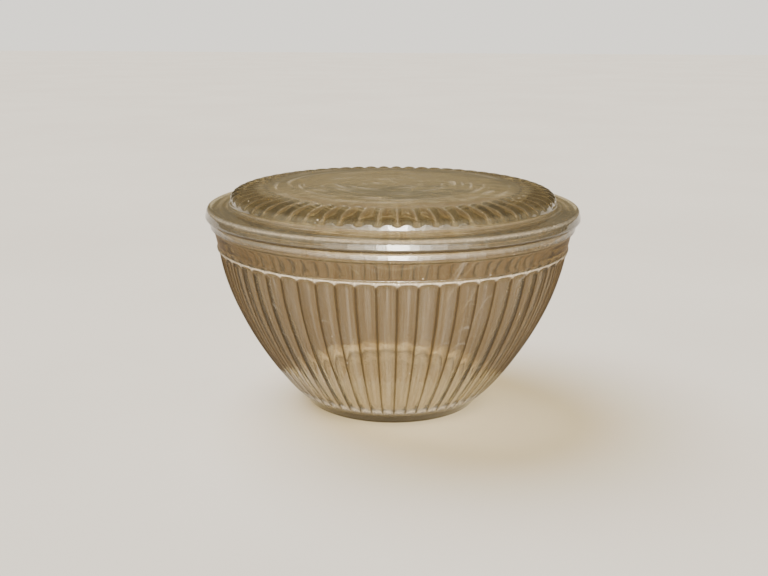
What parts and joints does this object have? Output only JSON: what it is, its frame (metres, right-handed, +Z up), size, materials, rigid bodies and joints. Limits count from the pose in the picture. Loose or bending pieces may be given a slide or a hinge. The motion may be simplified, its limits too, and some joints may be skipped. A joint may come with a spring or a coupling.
{
  "type": "covered mixing bowl",
  "caption": "Clear glass mixing bowl with fluted walls, a smooth foot and a banded rim, under a loose domed glass lid with radial ribs.",
  "frame": {"origin": "centre of the bowl's resting face, on the surface it stands on", "axes": "+Z up along the axis that the bowl and the lid are round about"},
  "size_m": [0.24, 0.24, 0.143],
  "materials": {
    "bowl_glass": "clear pressed glass with a faint olive-grey cast, lightly filmed with dust, glossy rim and bead",
    "lid_glass": "clear pressed glass with a faint olive-grey cast, a dull film of dust and fine scratches on the dome"
  },
  "bodies": {
    "bowl": {"bowl": "bowl_glass"},
    "lid": {"lid": "lid_glass"}
  },
  "joints": [
    {"name": "lid_lift", "type": "slide", "parent": "bowl", "child": "lid", "axis": [0, 0, 1], "range_m": [0, 0.15]}
  ]
}
